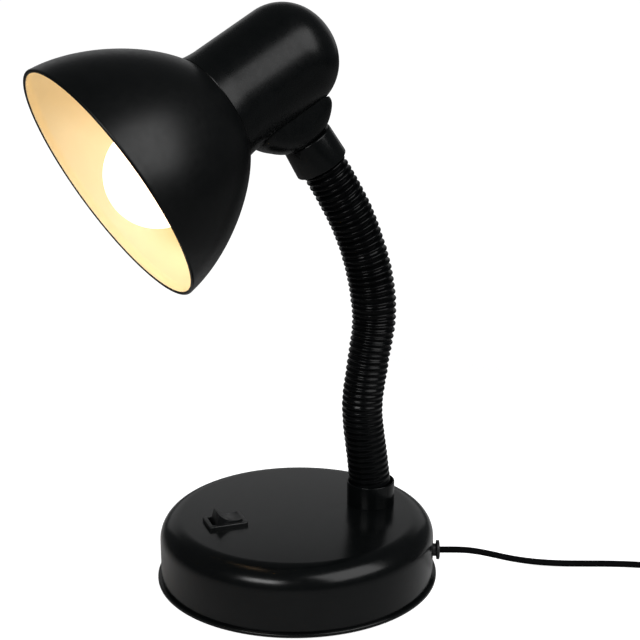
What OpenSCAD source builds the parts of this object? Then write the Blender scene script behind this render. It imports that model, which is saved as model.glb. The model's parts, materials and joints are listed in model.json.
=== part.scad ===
// Gooseneck desk lamp with a rocker switch in its round weighted base.
// Millimetres. +Z is up, the origin is the centre of the pad's underside, the neck stands at +Y and the
// switch at -Y, and the head hangs out over the switch.

/* [Base] */
// Diameter of the bottom plate
base_d = 150; // [130:1:190]
// How far the plate stands proud of the shell all round
base_lip = 1.9; // [1:0.1:4]
// Height of the shell's flat top above the plate's underside
base_h = 34.3; // [32:0.1:48]
// Radius of the shell's rounded shoulder
shoulder_r = 12; // [6:0.5:16]
// Sheet thickness of the shell
shell_wall = 1; // [0.8:0.1:2]
// Thickness of the bottom plate
plate_t = 2; // [1.5:0.1:3]
// Thickness of the foam pad under the plate
pad_t = 1.2; // [0.8:0.1:3]
// Width of the free space round the ballast disc
ballast_gap = 13; // [11:0.5:20]
// Distance of the plate posts in from the shell's side
post_inset = 25; // [22:0.5:30]

/* [Switch] */
// Distance of the rocker switch in from the shell's side
switch_inset = 33.3; // [29:0.1:40]
// Length of the switch bezel, along the lamp
bezel_l = 21; // [21:0.5:26]
// Width of the switch bezel
bezel_w = 15; // [15:0.5:18]
// Height of the bezel above the shell
bezel_t = 2; // [1.5:0.1:2.5]
// Tilt of the rocker either side of level
rocker_tilt = 17; // [8:0.5:17.5]

/* [Neck] */
// Distance of the neck's foot in from the shell's side
neck_inset = 30.6; // [27:0.1:40]
// Length of one link of the flexible neck
neck_link = 28.5; // [24:0.2:36]
// The most that one joint of the neck bends
neck_bend = 24; // [16:1:26]
// Rib diameter of the sleeve where it is stretched, in its lower half
sleeve_d = 21.6; // [19:0.2:27]
// How much thicker the sleeve is where it is bunched up, in its upper half
sleeve_bunch = 1.2; // [0:0.1:2]
// Wall of the sleeve at the bottom of its grooves
sleeve_wall = 1.3; // [0.8:0.1:1.8]
// Distance between two ribs of the sleeve
rib_pitch = 3.2; // [2.6:0.1:4.5]
// Depth of the grooves between the ribs
rib_depth = 1.1; // [0.6:0.1:1.3]
// Bore of the steel core inside the sleeve, for the leads
core_bore = 5.8; // [5:0.1:6.4]
// Wall of the core's cups round the balls
cup_wall = 1.2; // [0.9:0.1:1.6]
// Height of the collar on the base
collar_h = 12.5; // [9:0.5:15]
// Wall of the collar
collar_wall = 0.8; // [0.6:0.1:2]

/* [Ferrule] */
// Length of the upper ferrule below the swivel
ferrule_l = 16; // [12:0.5:24]
// Wall of the upper ferrule at its top
ferrule_wall = 1.65; // [1.2:0.05:3]
// How much wider the upper ferrule is at its mouth
ferrule_flare = 1.5; // [0:0.1:4]

/* [Head] */
// Turn of the head on its swivel, towards +X
head_turn = 8.9; // [-30:0.2:30]
// Angle from the ferrule's axis, seen downwards, to the way the head faces
head_angle = 91.3; // [80:0.1:100]
// Height of the knuckle from the ferrule to the cap
knuckle_h = 11.7; // [10:0.1:15]
// Outer diameter of the lampholder cap
cap_d = 55; // [52:0.5:58]
// Length of the cap from its rim to its closed end
cap_l = 68.2; // [66:0.2:84]
// Radius of the cap's rounded closed end
cap_round = 24.4; // [12:0.2:25]
// Sheet thickness of the cap
cap_wall = 0.8; // [0.6:0.1:1.2]
// Distance from the cap's rim back to the swivel
swivel_back = 31.8; // [30:0.2:33]
// Outer diameter of the shade's mouth
shade_d = 127; // [105:0.5:150]
// Length of the shade from its mouth to the cap's rim
shade_l = 66; // [60:0.2:80]
// Sheet thickness of the shade
shade_wall = 0.8; // [0.6:0.1:1.2]
// Diameter of the rolled bead round the shade's mouth
bead_d = 2; // [1.8:0.1:3]
// Drop of the lampholder below the cap's axis
holder_drop = 4; // [0:0.2:4.5]
// Sag of the lampholder on its bracket
holder_sag = 5.3; // [0:0.1:6]

/* [Bulb] */
// Diameter of the bulb's globe
bulb_d = 51; // [44:0.5:52]
// Length of the bulb over its cap
bulb_l = 86; // [80:0.5:90]

/* [Cord] */
// Width of the flat cord
cord_w = 4.4; // [4:0.1:5]
// Thickness of the flat cord
cord_t = 2.7; // [2.4:0.1:3]
// Height of the cord gland above the plate's underside
gland_h = 12; // [11.5:0.1:13]
// Direction of the cord gland, from +Y towards +X
gland_turn = 19.8; // [10:0.2:30]

/* [Hidden] */

// Smoothness of round faces
$fn = 64;
// Small overlap that makes one solid of two pieces of it, or opens a cut
lap = 0.5;

// Heights in the base
plate_z = pad_t;
shell_z = plate_z + plate_t;
spigot_t = 1.5;
spigot_gap = 0.15;
ballast_z = shell_z + spigot_t;
shell_top = plate_z + base_h;
roof_z = shell_top - shell_wall;
switch_depth = 13.5;
terminal_l = 8;
terminal_z = shell_top - switch_depth - terminal_l;
// The ballast fills the base up to just under the switch's terminals
terminal_gap = 1.3;
ballast_top = terminal_z - terminal_gap;
ballast_t = ballast_top - ballast_z;
pad_inset = 5;
plate_edge = 0.6;
shell_r = base_d / 2 - base_lip;
shell_in_r = shell_r - shell_wall;
ballast_r = shell_in_r - ballast_gap;
neck_y = shell_r - neck_inset;
switch_y = switch_inset - shell_r;

// Fasteners
post_d = 8;
screw_d = 4;
screw_fit = 0.05;
screw_head_d = 7.4;
screw_bite = 8;
post_turns = [0, 120, 240];
screw3_d = 3;
screw3_head_d = 5.4;
screw3_head_t = 1.8;

// Switch
switch_wall = 1.15;
cutout_gap = 0.1;
body_l = bezel_l - 2;
body_w = bezel_w - 2.3;
rocker_well = 8;
rocker_gap = 0.15;
rocker_w = body_w - 2 * switch_wall - 2 * rocker_gap;
rocker_l = body_l - 2 * switch_wall - 2.8;
rocker_rise = 6.4;
rocker_dip = 1.2;
rocker_drop = 3;
pivot_drop = 2.5;
pivot_z = shell_top + bezel_t - pivot_drop;
trunnion_d = 2.4;
trunnion_fit = 0.05;
trunnion_l = 0.9;
terminal_w = 4.8;
terminal_t = 0.8;
terminal_step = 4.7;

// Neck: the way each link leans, from vertical towards +Y
neck_lean = [-5, -7.5, 4, 7.5, -6, -19, -29.5, -31];
links = len(neck_lean);
stretched_links = 4;
bunched_d = sleeve_d + sleeve_bunch;
sleeve_fit = 0.1;
core_r = sleeve_d / 2 - rib_depth - sleeve_wall - sleeve_fit;
cup_gap = 0.3;
ball_r = core_r - cup_wall - cup_gap;
ball_neck_r = ball_r - 1.3;
// The sleeve stops short of each joint, and the core has a shoulder there, so that two links can bend
bend_gap = bunched_d / 2 * tan(neck_bend / 2) + 0.25;
core_shoulder = core_r * sin(neck_bend) + 1.2;
collar_floor = 1;
collar_bore = sleeve_d + 1.6;
stud_flange_t = 2.5;
stud_d = 10;
stud_drop = 10.5;
foot_seat = core_r * sin(abs(neck_lean[0])) + 0.03;
foot_z = shell_top + collar_floor + stud_flange_t + foot_seat;
neck_lead_low = -foot_seat - stud_flange_t - collar_floor - stud_drop;
first_link = collar_h + 2;
// The last joint lies this far below the ferrule's mouth, and the last link ends inside the ferrule
mouth_gap = 4;
ferrule_seat = 9;
last_link = mouth_gap + ferrule_l - ferrule_seat;
link_len = [for (k = [0:links - 1]) k == 0 ? first_link : k == links - 1 ? last_link : neck_link];
lead_d = 2.1;
lead_pitch = 2.5;
lead_gap = 0.8;

// Swivel
nipple_d = 10;
nipple_bore = 6.4;
nipple_fit = 0.06;
seat_fit = 0.1;
nut_af = 14;
nut_t = 4;
swivel_gap = 0.3;
ferrule_roof = 3;
ferrule_bore_r = bunched_d / 2 + sleeve_fit;
swivel_reach = knuckle_h + cap_d / 2;
knuckle_r = 26;
knuckle_rise = 11.9;
knuckle_side = 2.5;
knuckle_half = 15.5;
knuckle_round = 11;
nipple_low = -ferrule_seat + 0.5;
nipple_in_cap = 6.2;

// Head, along its own axis: zero at the swivel, + towards the cap's closed end
cap_rim_z = -swivel_back;
mouth_z = cap_rim_z - shade_l;
cap_end_z = cap_rim_z + cap_l;
cap_in_r = cap_d / 2 - cap_wall;
neck_in_cap = 7;
neck_fit = 0.05;
bell_flare = 4.4;
bell_pull = 24.9;
shoulder_lean = 55;
shoulder_pull = 19.7;
bell_steps = 16;
ring_t = 3;
ring_wall = 1;

// Lampholder, in its own frame: zero at its back, - towards the bulb
strap_t = 1.2;
strap_w = 14;
strap_gap = cap_in_r - sqrt(cap_in_r ^ 2 - (strap_w / 2) ^ 2) + 0.1;
strap_y = cap_in_r - strap_gap - strap_t;
nipple_high = swivel_reach - cap_in_r + nipple_in_cap;
// The strap's plate passes under the nut's corner, tilted as the holder is
nut_room = 0.727;
holder_z = -nut_af / 2 / cos(30) - (strap_y - holder_drop) * sin(holder_sag) - nut_room;
holder_back = 3;
holder_lead_x = 9.5;
holder_d = 38;
holder_tail_d = 30;
holder_tail_l = 10;
holder_l = 38;
holder_wall = 3;
thread_pitch = 3.6;
thread_depth = 0.5;
thread_r = 14.35;
thread_wall = 0.5;
thread_turns = 6;
thread_l = thread_turns * thread_pitch;
contact_t = 0.5;
bulb_cap_d = 26.2;
bulb_cap_l = 24;
button_l = 2;
glass_wall = 0.8;
screw3_reach = 8;

// Cord and plug
coil_d = 53;
coil_x = 51;
coil_y = 228;
coil_rows = 3;
coil_layers = 4;
clamp_inset = 22;
clamp_step = 6.5;
clamp_bite = min(4, ballast_t - 0.5);
clamp_h = 5.2;
clamp_l = 7;
clamp_w = 19;
gland_r = 5.2;
gland_neck_r = 3.4;
gland_flange_t = 1.6;
gland_stand = 2;
// Points of the cord from the gland to the coil, on the centre line
run_route = [
  [26, 72.2, 13.2], [28.3, 78.5, 13.2], [30.5, 85.5, 12.8], [32.5, 92.5, 11.6], [34.5, 100.5, 9.4],
  [36.6, 109, 6.9], [38.6, 118.5, 4.6], [40.6, 128, 2.9], [43.3, 138.5, 1.8], [46.7, 149.5, 1.35],
  [50.9, 160.5, 1.35], [55.7, 171.5, 1.35], [61.3, 182, 1.35], [67.3, 192.5, 1.35], [72.5, 201.8, 1.35]
];
// Points of the cord from the top of the coil to the plug
tail_route = [
  [44.5, 263, 9.5], [38, 263.2, 8.8], [31.5, 262.5, 7.4], [26.5, 262, 6.85], [22, 262, 6.85]
];
plug_y = 262;
plug_z = 6.85;
plug_rear_x = 22;
boot_l = 25;
plug_l = 35;
plug_w = 35.3;
plug_t = 13.7;
pin_d = 4;
pin_step = 18.6;
pin_l = 19;
sleeve_pin_d = 3.5;
sleeve_pin_l = 10;

// Colours
paint_black = [0.05, 0.05, 0.055];
plastic_black = [0.03, 0.03, 0.03];
steel = [0.6, 0.6, 0.62];
iron = [0.3, 0.3, 0.32];
brass = [0.8, 0.65, 0.35];
copper_red = [0.5, 0.12, 0.1];
lamp_white = [0.98, 0.96, 0.9];

// ---------------------------------------------------------------- shared shapes

// Points of an arc about [x, y], from angle a to angle b
function arc(x, y, r, a, b, n = 12) =
  [for (i = [0:n]) let (t = a + (b - a) * i / n) [x + r * cos(t), y + r * sin(t)]];

// Point and slope of a cubic curve through four control points
function cubic(p, t) =
  (1 - t) ^ 3 * p[0] + 3 * (1 - t) ^ 2 * t * p[1] + 3 * (1 - t) * t ^ 2 * p[2] + t ^ 3 * p[3];
function cubic_slope(p, t) =
  3 * (1 - t) ^ 2 * (p[1] - p[0]) + 6 * (1 - t) * t * (p[2] - p[1]) + 3 * t ^ 2 * (p[3] - p[2]);

function unit(v) = v / norm(v);

// Way of a route at point i
function heading(route, i) =
  unit(route[min(i + 1, len(route) - 1)] - route[max(i - 1, 0)]);

// Sideways direction at each point of a route, carried along it without a twist
function carried_sides(route, side, i = 0) =
  i == len(route) ? []
  : let (d = heading(route, i), s = unit(side - (side * d) * d)) concat([s], carried_sides(route, s, i + 1));

// A flat tube along a route that starts off level; its width starts out sideways
module flat_tube(route, width, thick, sides = 8) {
  across = carried_sides(route, cross(heading(route, 0), [0, 0, 1]));
  rings = [for (i = [0:len(route) - 1], j = [0:sides - 1])
    let (a = 360 * (j + 0.5) / sides, up = cross(across[i], heading(route, i)))
    route[i] + across[i] * (width / 2 * cos(a)) + up * (thick / 2 * sin(a))];
  body = [for (i = [0:len(route) - 2], j = [0:sides - 1])
    let (k = (j + 1) % sides)
    [i * sides + j, i * sides + k, (i + 1) * sides + k, (i + 1) * sides + j]];
  start_cap = [for (j = [sides - 1:-1:0]) j];
  end_cap = [for (j = [0:sides - 1]) (len(route) - 1) * sides + j];
  polyhedron(points = rings, faces = concat(body, [start_cap, end_cap]), convexity = 8);
}

// A thin ring-shaped or solid turned piece from its outline of [radius, height] points
module turned(outline) {
  rotate_extrude() polygon(outline);
}

// Hexagon nut with its hole, standing on z = 0
module hex_nut(af, hole_d, t) {
  difference() {
    rotate(30) cylinder(h = t, d = af / cos(30), $fn = 6);
    translate([0, 0, -lap]) cylinder(h = t + 2 * lap, d = hole_d);
  }
}

// Small screw with its head on z = 0 and its shank below
module pan_screw(shank) {
  translate([0, 0, -shank]) cylinder(h = shank + lap, d = screw3_d);
  cylinder(h = screw3_head_t, d = screw3_head_d);
}

// Two leads side by side, standing on z = 0
module lead_pair(length) {
  for (side = [-1, 1])
    translate([side * lead_pitch / 2, 0, 0]) cylinder(h = length, d = lead_d, $fn = 24);
}

// ---------------------------------------------------------------- base

module at_posts() {
  for (turn = post_turns) rotate(turn) translate([shell_r - post_inset, 0, 0]) children();
}

module base_pad() {
  color(plastic_black) cylinder(h = pad_t, d = base_d - 2 * pad_inset, $fn = 128);
}

module base_plate() {
  plate_r = base_d / 2;
  spigot_r = shell_in_r - spigot_gap;
  color(paint_black) difference() {
    turned([
      [0, plate_z], [plate_r - plate_edge, plate_z], [plate_r, plate_z + plate_edge],
      [plate_r, shell_z - plate_edge], [plate_r - plate_edge, shell_z], [spigot_r, shell_z],
      [spigot_r, ballast_z], [0, ballast_z]
    ]);
    at_posts() {
      translate([0, 0, plate_z - lap])
        cylinder(h = plate_t + spigot_t + 2 * lap, d = screw_d + 2 * screw_fit);
      translate([0, 0, plate_z - lap])
        cylinder(h = lap + screw_d / 2, d1 = screw_head_d + 2 * lap, d2 = screw_d);
    }
  }
}

module ballast_weight() {
  color(iron) translate([0, 0, ballast_z]) difference() {
    cylinder(h = ballast_t, r = ballast_r, $fn = 128);
    at_posts() translate([0, 0, -lap]) cylinder(h = ballast_t + 2 * lap, d = screw_d + 2 * screw_fit);
    translate([0, 0, -ballast_z]) at_clamp() for (side = [-1, 1])
      translate([0, side * clamp_step, -clamp_bite])
        cylinder(h = clamp_bite + lap, d = screw3_d + 2 * screw_fit);
  }
}

module base_shell() {
  inner_round = shoulder_r - shell_wall;
  color(paint_black) difference() {
    turned(concat(
      [[shell_in_r, shell_z], [shell_r, shell_z]],
      arc(shell_r - shoulder_r, shell_top - shoulder_r, shoulder_r, 0, 90, 10),
      [[0, shell_top], [0, roof_z]],
      arc(shell_r - shoulder_r, shell_top - shoulder_r, inner_round, 90, 0, 10)
    ));
    translate([0, neck_y, roof_z - lap]) cylinder(h = shell_wall + 2 * lap, d = stud_d + 2 * seat_fit);
    translate([0, switch_y, shell_top])
      cube([body_w + 2 * cutout_gap, body_l + 2 * cutout_gap, 2 * shell_wall + 2 * lap], center = true);
    at_gland() translate([0, 0, shell_in_r - 2 * lap])
      cylinder(h = shell_wall + 3 * lap, r = gland_neck_r + seat_fit);
  }
}

module base_posts() {
  color(steel) at_posts() translate([0, 0, ballast_top]) difference() {
    cylinder(h = roof_z - ballast_top, d = post_d);
    translate([0, 0, -lap]) cylinder(h = screw_bite + 1 + lap, d = screw_d + 2 * screw_fit);
  }
}

module plate_screws() {
  color(steel) at_posts() translate([0, 0, plate_z]) {
    cylinder(h = screw_d / 2, d1 = screw_head_d, d2 = screw_d);
    cylinder(h = ballast_top + screw_bite - plate_z, d = screw_d);
  }
}

// ---------------------------------------------------------------- cord entry

// Frame at the gland's height, +Z outwards along the cord's way out
module at_gland() {
  translate([0, 0, plate_z + gland_h]) rotate(-gland_turn) rotate([-90, 0, 0]) children();
}

// Frame of the cord clamp on the ballast, +X outwards along the cord
module at_clamp() {
  rotate(90 - gland_turn) translate([shell_in_r - clamp_inset, 0, ballast_top]) children();
}

module cord_gland() {
  nut_in = shell_in_r - 2.4;
  flange_r = shell_r + gland_stand;
  end_r = flange_r + gland_flange_t;
  color(plastic_black) at_gland() difference() {
    union() {
      translate([0, 0, nut_in]) cylinder(h = 2.2, r = gland_r);
      translate([0, 0, nut_in + 1]) cylinder(h = end_r - nut_in - 1 - lap, r = gland_neck_r);
      translate([0, 0, flange_r]) cylinder(h = gland_flange_t, r = gland_r);
    }
    translate([0, 0, nut_in - lap]) linear_extrude(end_r - nut_in + 2 * lap)
      square([cord_w + 0.3, cord_t + 0.3], center = true);
  }
}

module cord_clamp() {
  gap_w = cord_w + 0.4;
  gap_h = cord_t + 0.4;
  color(plastic_black) at_clamp() difference() {
    translate([-clamp_l / 2, -clamp_w / 2, 0]) cube([clamp_l, clamp_w, clamp_h]);
    translate([-clamp_l / 2 - lap, -gap_w / 2, -lap]) cube([clamp_l + 2 * lap, gap_w, gap_h + lap]);
    for (side = [-1, 1])
      translate([0, side * clamp_step, -lap]) cylinder(h = clamp_h + 2 * lap, d = screw3_d + 2 * screw_fit);
  }
}

module clamp_screws() {
  color(steel) at_clamp() for (side = [-1, 1])
    translate([0, side * clamp_step, clamp_h]) pan_screw(clamp_h + clamp_bite - 0.3);
}

// The cord inside the base, and the single leads from it and the switch to the neck
module base_leads() {
  out = [sin(gland_turn), cos(gland_turn), 0];
  across = [cos(gland_turn), -sin(gland_turn), 0];
  gland_z = [0, 0, plate_z + gland_h];
  inner_z = [0, 0, ballast_top + cord_t / 2 + 0.2];
  lead_z = ballast_top + lead_d / 2 + 0.1;
  tab_z = terminal_z + 2;
  split = shell_in_r - clamp_inset - clamp_l / 2 - 0.5;
  end = along(0, neck_lead_low - 0.2);
  step = [lead_pitch / 2, 0, 0];
  color(plastic_black) flat_tube([
    out * (shell_r + gland_stand + gland_flange_t) + gland_z, out * (shell_r - 4) + gland_z,
    out * (split + clamp_l + 5) + inner_z, out * split + inner_z
  ], cord_w, cord_t);
  color(copper_red) {
    flat_tube([
      out * (split + 0.2) + across * 1.2 + inner_z, out * (split - 3) + across * 4 + inner_z,
      [18, neck_y - 32, lead_z], [13, switch_y + 22, lead_z], [8, switch_y - 1, lead_z],
      [5, switch_y - terminal_step, tab_z - 0.4], [terminal_w / 2 + 0.1, switch_y - terminal_step, tab_z]
    ], lead_d, lead_d, 6);
    flat_tube([
      out * (split + 0.2) - across * 1.2 + inner_z, out * (split - 3) - across * 1.4 + inner_z,
      end + [6, -1, -6.5], end + [2.4, 0, -4.5], end + step + [0, 0, -1.5], end + step
    ], lead_d, lead_d, 6);
    flat_tube([
      [-terminal_w / 2 - 0.1, switch_y + terminal_step, tab_z], [-5, switch_y + terminal_step, tab_z - 0.4],
      [-7, switch_y + 12, lead_z], [-7, switch_y + 34, lead_z], [-7, neck_y - 16, lead_z],
      end + [-3.4, -3, -5], end - step + [0, 0, -1.5], end - step
    ], lead_d, lead_d, 6);
  }
}

// ---------------------------------------------------------------- switch

module switch_housing() {
  well_w = rocker_w + 2 * rocker_gap;
  well_l = body_l - 2 * switch_wall;
  bevel = 0.8;
  color(plastic_black) translate([0, switch_y, 0]) difference() {
    union() {
      translate([-body_w / 2, -body_l / 2, shell_top - switch_depth])
        cube([body_w, body_l, switch_depth + lap]);
      hull() {
        translate([-bezel_w / 2, -bezel_l / 2, shell_top]) cube([bezel_w, bezel_l, bezel_t - bevel]);
        translate([-bezel_w / 2 + bevel, -bezel_l / 2 + bevel, shell_top])
          cube([bezel_w - 2 * bevel, bezel_l - 2 * bevel, bezel_t]);
      }
    }
    translate([-well_w / 2, -well_l / 2, shell_top + bezel_t - rocker_well])
      cube([well_w, well_l, rocker_well + lap]);
    translate([0, 0, pivot_z]) rotate([0, 90, 0])
      cylinder(h = well_w + 2 * trunnion_l, d = trunnion_d + 2 * trunnion_fit, center = true);
  }
}

module switch_rocker() {
  half = rocker_l / 2;
  dip_r = (half ^ 2 + rocker_dip ^ 2) / (2 * rocker_dip);
  dip_a = asin(half / dip_r);
  color(plastic_black) translate([0, switch_y, pivot_z]) rotate([-rocker_tilt, 0, 0]) {
    rotate([90, 0, 90]) linear_extrude(rocker_w, center = true) polygon(concat(
      [[-half, -rocker_drop], [half, -rocker_drop]],
      arc(0, rocker_rise - rocker_dip + dip_r, dip_r, -90 + dip_a, -90 - dip_a, 10)
    ));
    rotate([0, 90, 0]) cylinder(h = rocker_w + 2 * trunnion_l, d = trunnion_d, center = true);
  }
}

module switch_terminals() {
  color(brass) for (side = [-1, 1])
    translate([-terminal_w / 2, switch_y + side * terminal_step - terminal_t / 2, terminal_z])
      cube([terminal_w, terminal_t, terminal_l]);
}

// ---------------------------------------------------------------- neck

// Place of joint k, counted from the foot at k = 0
function joint_at(k) = k == 0
  ? [0, neck_y, foot_z]
  : along(k - 1, link_len[k - 1]);

// Point of link k at a distance from its lower joint
function along(k, distance) = joint_at(k) + distance * [0, sin(neck_lean[k]), cos(neck_lean[k])];

// Frame of link k: it starts at its lower joint, +Z along the link
module at_link(k) {
  translate(joint_at(k)) rotate([-neck_lean[k], 0, 0]) children();
}

function link_low(k) = k == 0 ? 0 : bend_gap;
function link_high(k) = k == links - 1 ? link_len[k] : link_len[k] - bend_gap;

module neck_collar() {
  color(paint_black) translate([0, neck_y, shell_top]) difference() {
    cylinder(h = collar_h, d = collar_bore + 2 * collar_wall);
    translate([0, 0, collar_floor]) cylinder(h = collar_h, d = collar_bore);
    translate([0, 0, -lap]) cylinder(h = collar_floor + 2 * lap, d = stud_d + 2 * seat_fit);
  }
}

module neck_stud() {
  color(steel) translate([0, neck_y, shell_top + collar_floor]) difference() {
    union() {
      cylinder(h = stud_flange_t, r = core_r);
      translate([0, 0, -stud_drop - collar_floor]) cylinder(h = stud_drop + collar_floor + lap, d = stud_d);
    }
    translate([0, 0, -stud_drop - collar_floor - lap])
      cylinder(h = stud_drop + collar_floor + stud_flange_t + 2 * lap, d = nipple_bore);
  }
}

module neck_nut() {
  color(steel) translate([0, neck_y, roof_z - nut_t]) hex_nut(nut_af, stud_d + 2 * screw_fit, nut_t);
}

// A stretch of ribbed sleeve
module neck_sleeve(k) {
  low = link_low(k);
  high = link_high(k);
  count = floor((high - low) / rib_pitch);
  start = low + (high - low - count * rib_pitch) / 2;
  rib_r = (k < stretched_links ? sleeve_d : bunched_d) / 2;
  root_r = rib_r - rib_depth;
  bore_r = core_r + sleeve_fit;
  ribs = [for (i = [0:count - 1], p = [[root_r, 0.1], [rib_r, 0.3], [rib_r, 0.7], [root_r, 0.9]])
    [p[0], start + (i + p[1]) * rib_pitch]];
  color(plastic_black) at_link(k) turned(concat(
    [[bore_r, low], [root_r, low]], ribs, [[root_r, high], [bore_r, high]]
  ));
}

// A stretch of the steel core: a cup for the ball below, and a ball for the cup above
module neck_core(k) {
  has_cup = k > 0;
  has_ball = k < links - 1;
  shoulder = has_ball ? link_len[k] - core_shoulder : link_len[k];
  color(steel) at_link(k) difference() {
    union() {
      cylinder(h = shoulder, r = core_r);
      if (has_ball) {
        translate([0, 0, shoulder - lap]) cylinder(h = core_shoulder + lap, r = ball_neck_r);
        translate([0, 0, link_len[k]]) sphere(r = ball_r);
      }
    }
    if (has_cup) sphere(r = ball_r + cup_gap);
    translate([0, 0, -lap]) cylinder(h = link_len[k] + ball_r + 2 * lap, d = core_bore);
  }
}

// The two leads through one link; they pass through the ball above and stop short of the next pair
module neck_lead(k) {
  low = k == 0 ? neck_lead_low : ball_r + lead_gap;
  high = k == links - 1 ? link_len[k] - 0.6 : link_len[k] + ball_r - lead_gap;
  color(copper_red) at_link(k) translate([0, 0, low]) lead_pair(high - low);
}

// ---------------------------------------------------------------- ferrule and swivel

// Frame at the top of the ferrule, +Z on along its axis
module at_ferrule() {
  at_link(links - 1) translate([0, 0, mouth_gap + ferrule_l]) children();
}

// The same frame turned with the head
module at_swivel() {
  at_ferrule() rotate(head_turn) children();
}

// Frame of the head: the origin where its axis meets the swivel's, +Z towards the cap's closed end,
// +Y down towards the ferrule
module at_head() {
  at_swivel() translate([0, 0, swivel_reach]) rotate([-head_angle, 0, 0]) children();
}

module upper_ferrule() {
  bore_r = ferrule_bore_r;
  top_r = bore_r + ferrule_wall;
  mouth_r = top_r + ferrule_flare / 2;
  pocket_r = bore_r - 1;
  hole_r = nipple_d / 2 + nipple_fit;
  color(paint_black) at_ferrule() turned([
    [hole_r, 0], [top_r - 0.5, 0], [top_r, -0.5], [mouth_r, -ferrule_l + 0.4], [mouth_r - 0.4, -ferrule_l],
    [bore_r, -ferrule_l], [bore_r, -ferrule_seat], [pocket_r, -ferrule_seat], [pocket_r, -ferrule_roof],
    [hole_r, -ferrule_roof]
  ]);
}

// Room for the cap, and the hole for the nipple that holds the head together
module cap_cut() {
  at_head() translate([0, 0, cap_rim_z]) cylinder(h = cap_l, d = cap_d + 2 * seat_fit, $fn = 96);
}

module nipple_cut() {
  at_swivel() cylinder(h = nipple_high, d = nipple_d + 2 * seat_fit);
}

module swivel_knuckle() {
  outline = concat(
    [[0, -knuckle_half]],
    arc(knuckle_r - knuckle_round, -knuckle_half + knuckle_round, knuckle_round, -90, 0, 8),
    arc(knuckle_r - knuckle_round, knuckle_half - knuckle_round, knuckle_round, 0, 90, 8),
    [[0, knuckle_half]]
  );
  color(paint_black) difference() {
    at_swivel() difference() {
      translate([0, -knuckle_side, knuckle_h + knuckle_rise]) rotate([0, 90, 0]) turned(outline);
      translate([0, 0, swivel_gap - knuckle_r]) cube(2 * knuckle_r, center = true);
    }
    nipple_cut();
    cap_cut();
  }
}

module swivel_nipple() {
  color(steel) at_swivel() translate([0, 0, nipple_low]) difference() {
    cylinder(h = nipple_high - nipple_low, d = nipple_d);
    translate([0, 0, -lap]) cylinder(h = nipple_high - nipple_low + 2 * lap, d = nipple_bore);
  }
}

module swivel_nuts() {
  hole_d = nipple_d + 2 * screw_fit;
  color(steel) at_swivel() {
    translate([0, 0, -ferrule_roof - 0.1 - nut_t]) hex_nut(nut_af, hole_d, nut_t);
    translate([0, 0, swivel_reach - strap_y + swivel_gap]) hex_nut(nut_af, hole_d, 3);
  }
}

// ---------------------------------------------------------------- head

module cap_housing() {
  outer_r = cap_d / 2;
  flat_r = outer_r - cap_round;
  round_z = cap_end_z - cap_round;
  color(paint_black) difference() {
    at_head() turned(concat(
      [[cap_in_r, cap_rim_z], [outer_r, cap_rim_z]],
      arc(flat_r, round_z, cap_round, 0, 90, 14),
      [[0, cap_end_z], [0, cap_end_z - cap_wall]],
      arc(flat_r, round_z, cap_round - cap_wall, 90, 0, 14)
    ));
    nipple_cut();
  }
}

module shade() {
  neck_r = cap_in_r - neck_fit;
  mouth = [shade_d / 2, 0];
  top = [cap_d / 2 + 0.3, shade_l - 1.6];
  bell = [
    mouth, mouth + bell_pull * [-sin(bell_flare), cos(bell_flare)],
    top + shoulder_pull * [sin(shoulder_lean), -cos(shoulder_lean)], top
  ];
  outer = [for (i = [0:bell_steps]) cubic(bell, i / bell_steps)];
  inner = [for (i = [bell_steps:-1:0])
    let (t = i / bell_steps, d = unit(cubic_slope(bell, t))) cubic(bell, t) - shade_wall * [d[1], -d[0]]];
  color(paint_black) at_head() translate([0, 0, mouth_z]) {
    turned(concat(
      outer, [[neck_r, shade_l - 0.6], [neck_r, shade_l + neck_in_cap],
        [neck_r - shade_wall, shade_l + neck_in_cap], [neck_r - shade_wall, shade_l - 1]], inner
    ));
    rotate_extrude() translate([shade_d / 2 - bead_d / 2, bead_d / 2 - 0.3]) circle(d = bead_d, $fn = 32);
  }
}

module shade_ring() {
  outer_r = cap_in_r - neck_fit - shade_wall;
  color(steel) at_head() translate([0, 0, cap_rim_z + neck_in_cap - ring_t]) difference() {
    cylinder(h = ring_t, r = outer_r);
    translate([0, 0, -lap]) cylinder(h = ring_t + 2 * lap, r = outer_r - ring_wall);
  }
}

// Frame of the lampholder: zero at its back, -Z towards the bulb
module at_holder() {
  at_head() translate([0, holder_drop, holder_z]) rotate([holder_sag, 0, 0]) children();
}

// The same change of frame for a point
function in_holder(p) = [
  p[0],
  holder_drop + p[1] * cos(holder_sag) - p[2] * sin(holder_sag),
  holder_z + p[1] * sin(holder_sag) + p[2] * cos(holder_sag)
];

module holder_bracket() {
  up = 12;
  down = strap_y - holder_drop + strap_t / 2;
  leg_z = in_holder([0, down, 0])[2];
  color(steel) difference() {
    union() {
      at_head() translate([-strap_w / 2, strap_y, leg_z]) cube([strap_w, strap_t, nut_af / 2 + 2 - leg_z]);
      at_holder() translate([-strap_w / 2, -up, 0]) cube([strap_w, up + down, strap_t]);
    }
    nipple_cut();
    at_holder() for (side = [-1, 1])
      translate([0, side * screw3_reach, -lap]) cylinder(h = strap_t + 2 * lap, d = screw3_d + 2 * screw_fit);
  }
}

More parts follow.
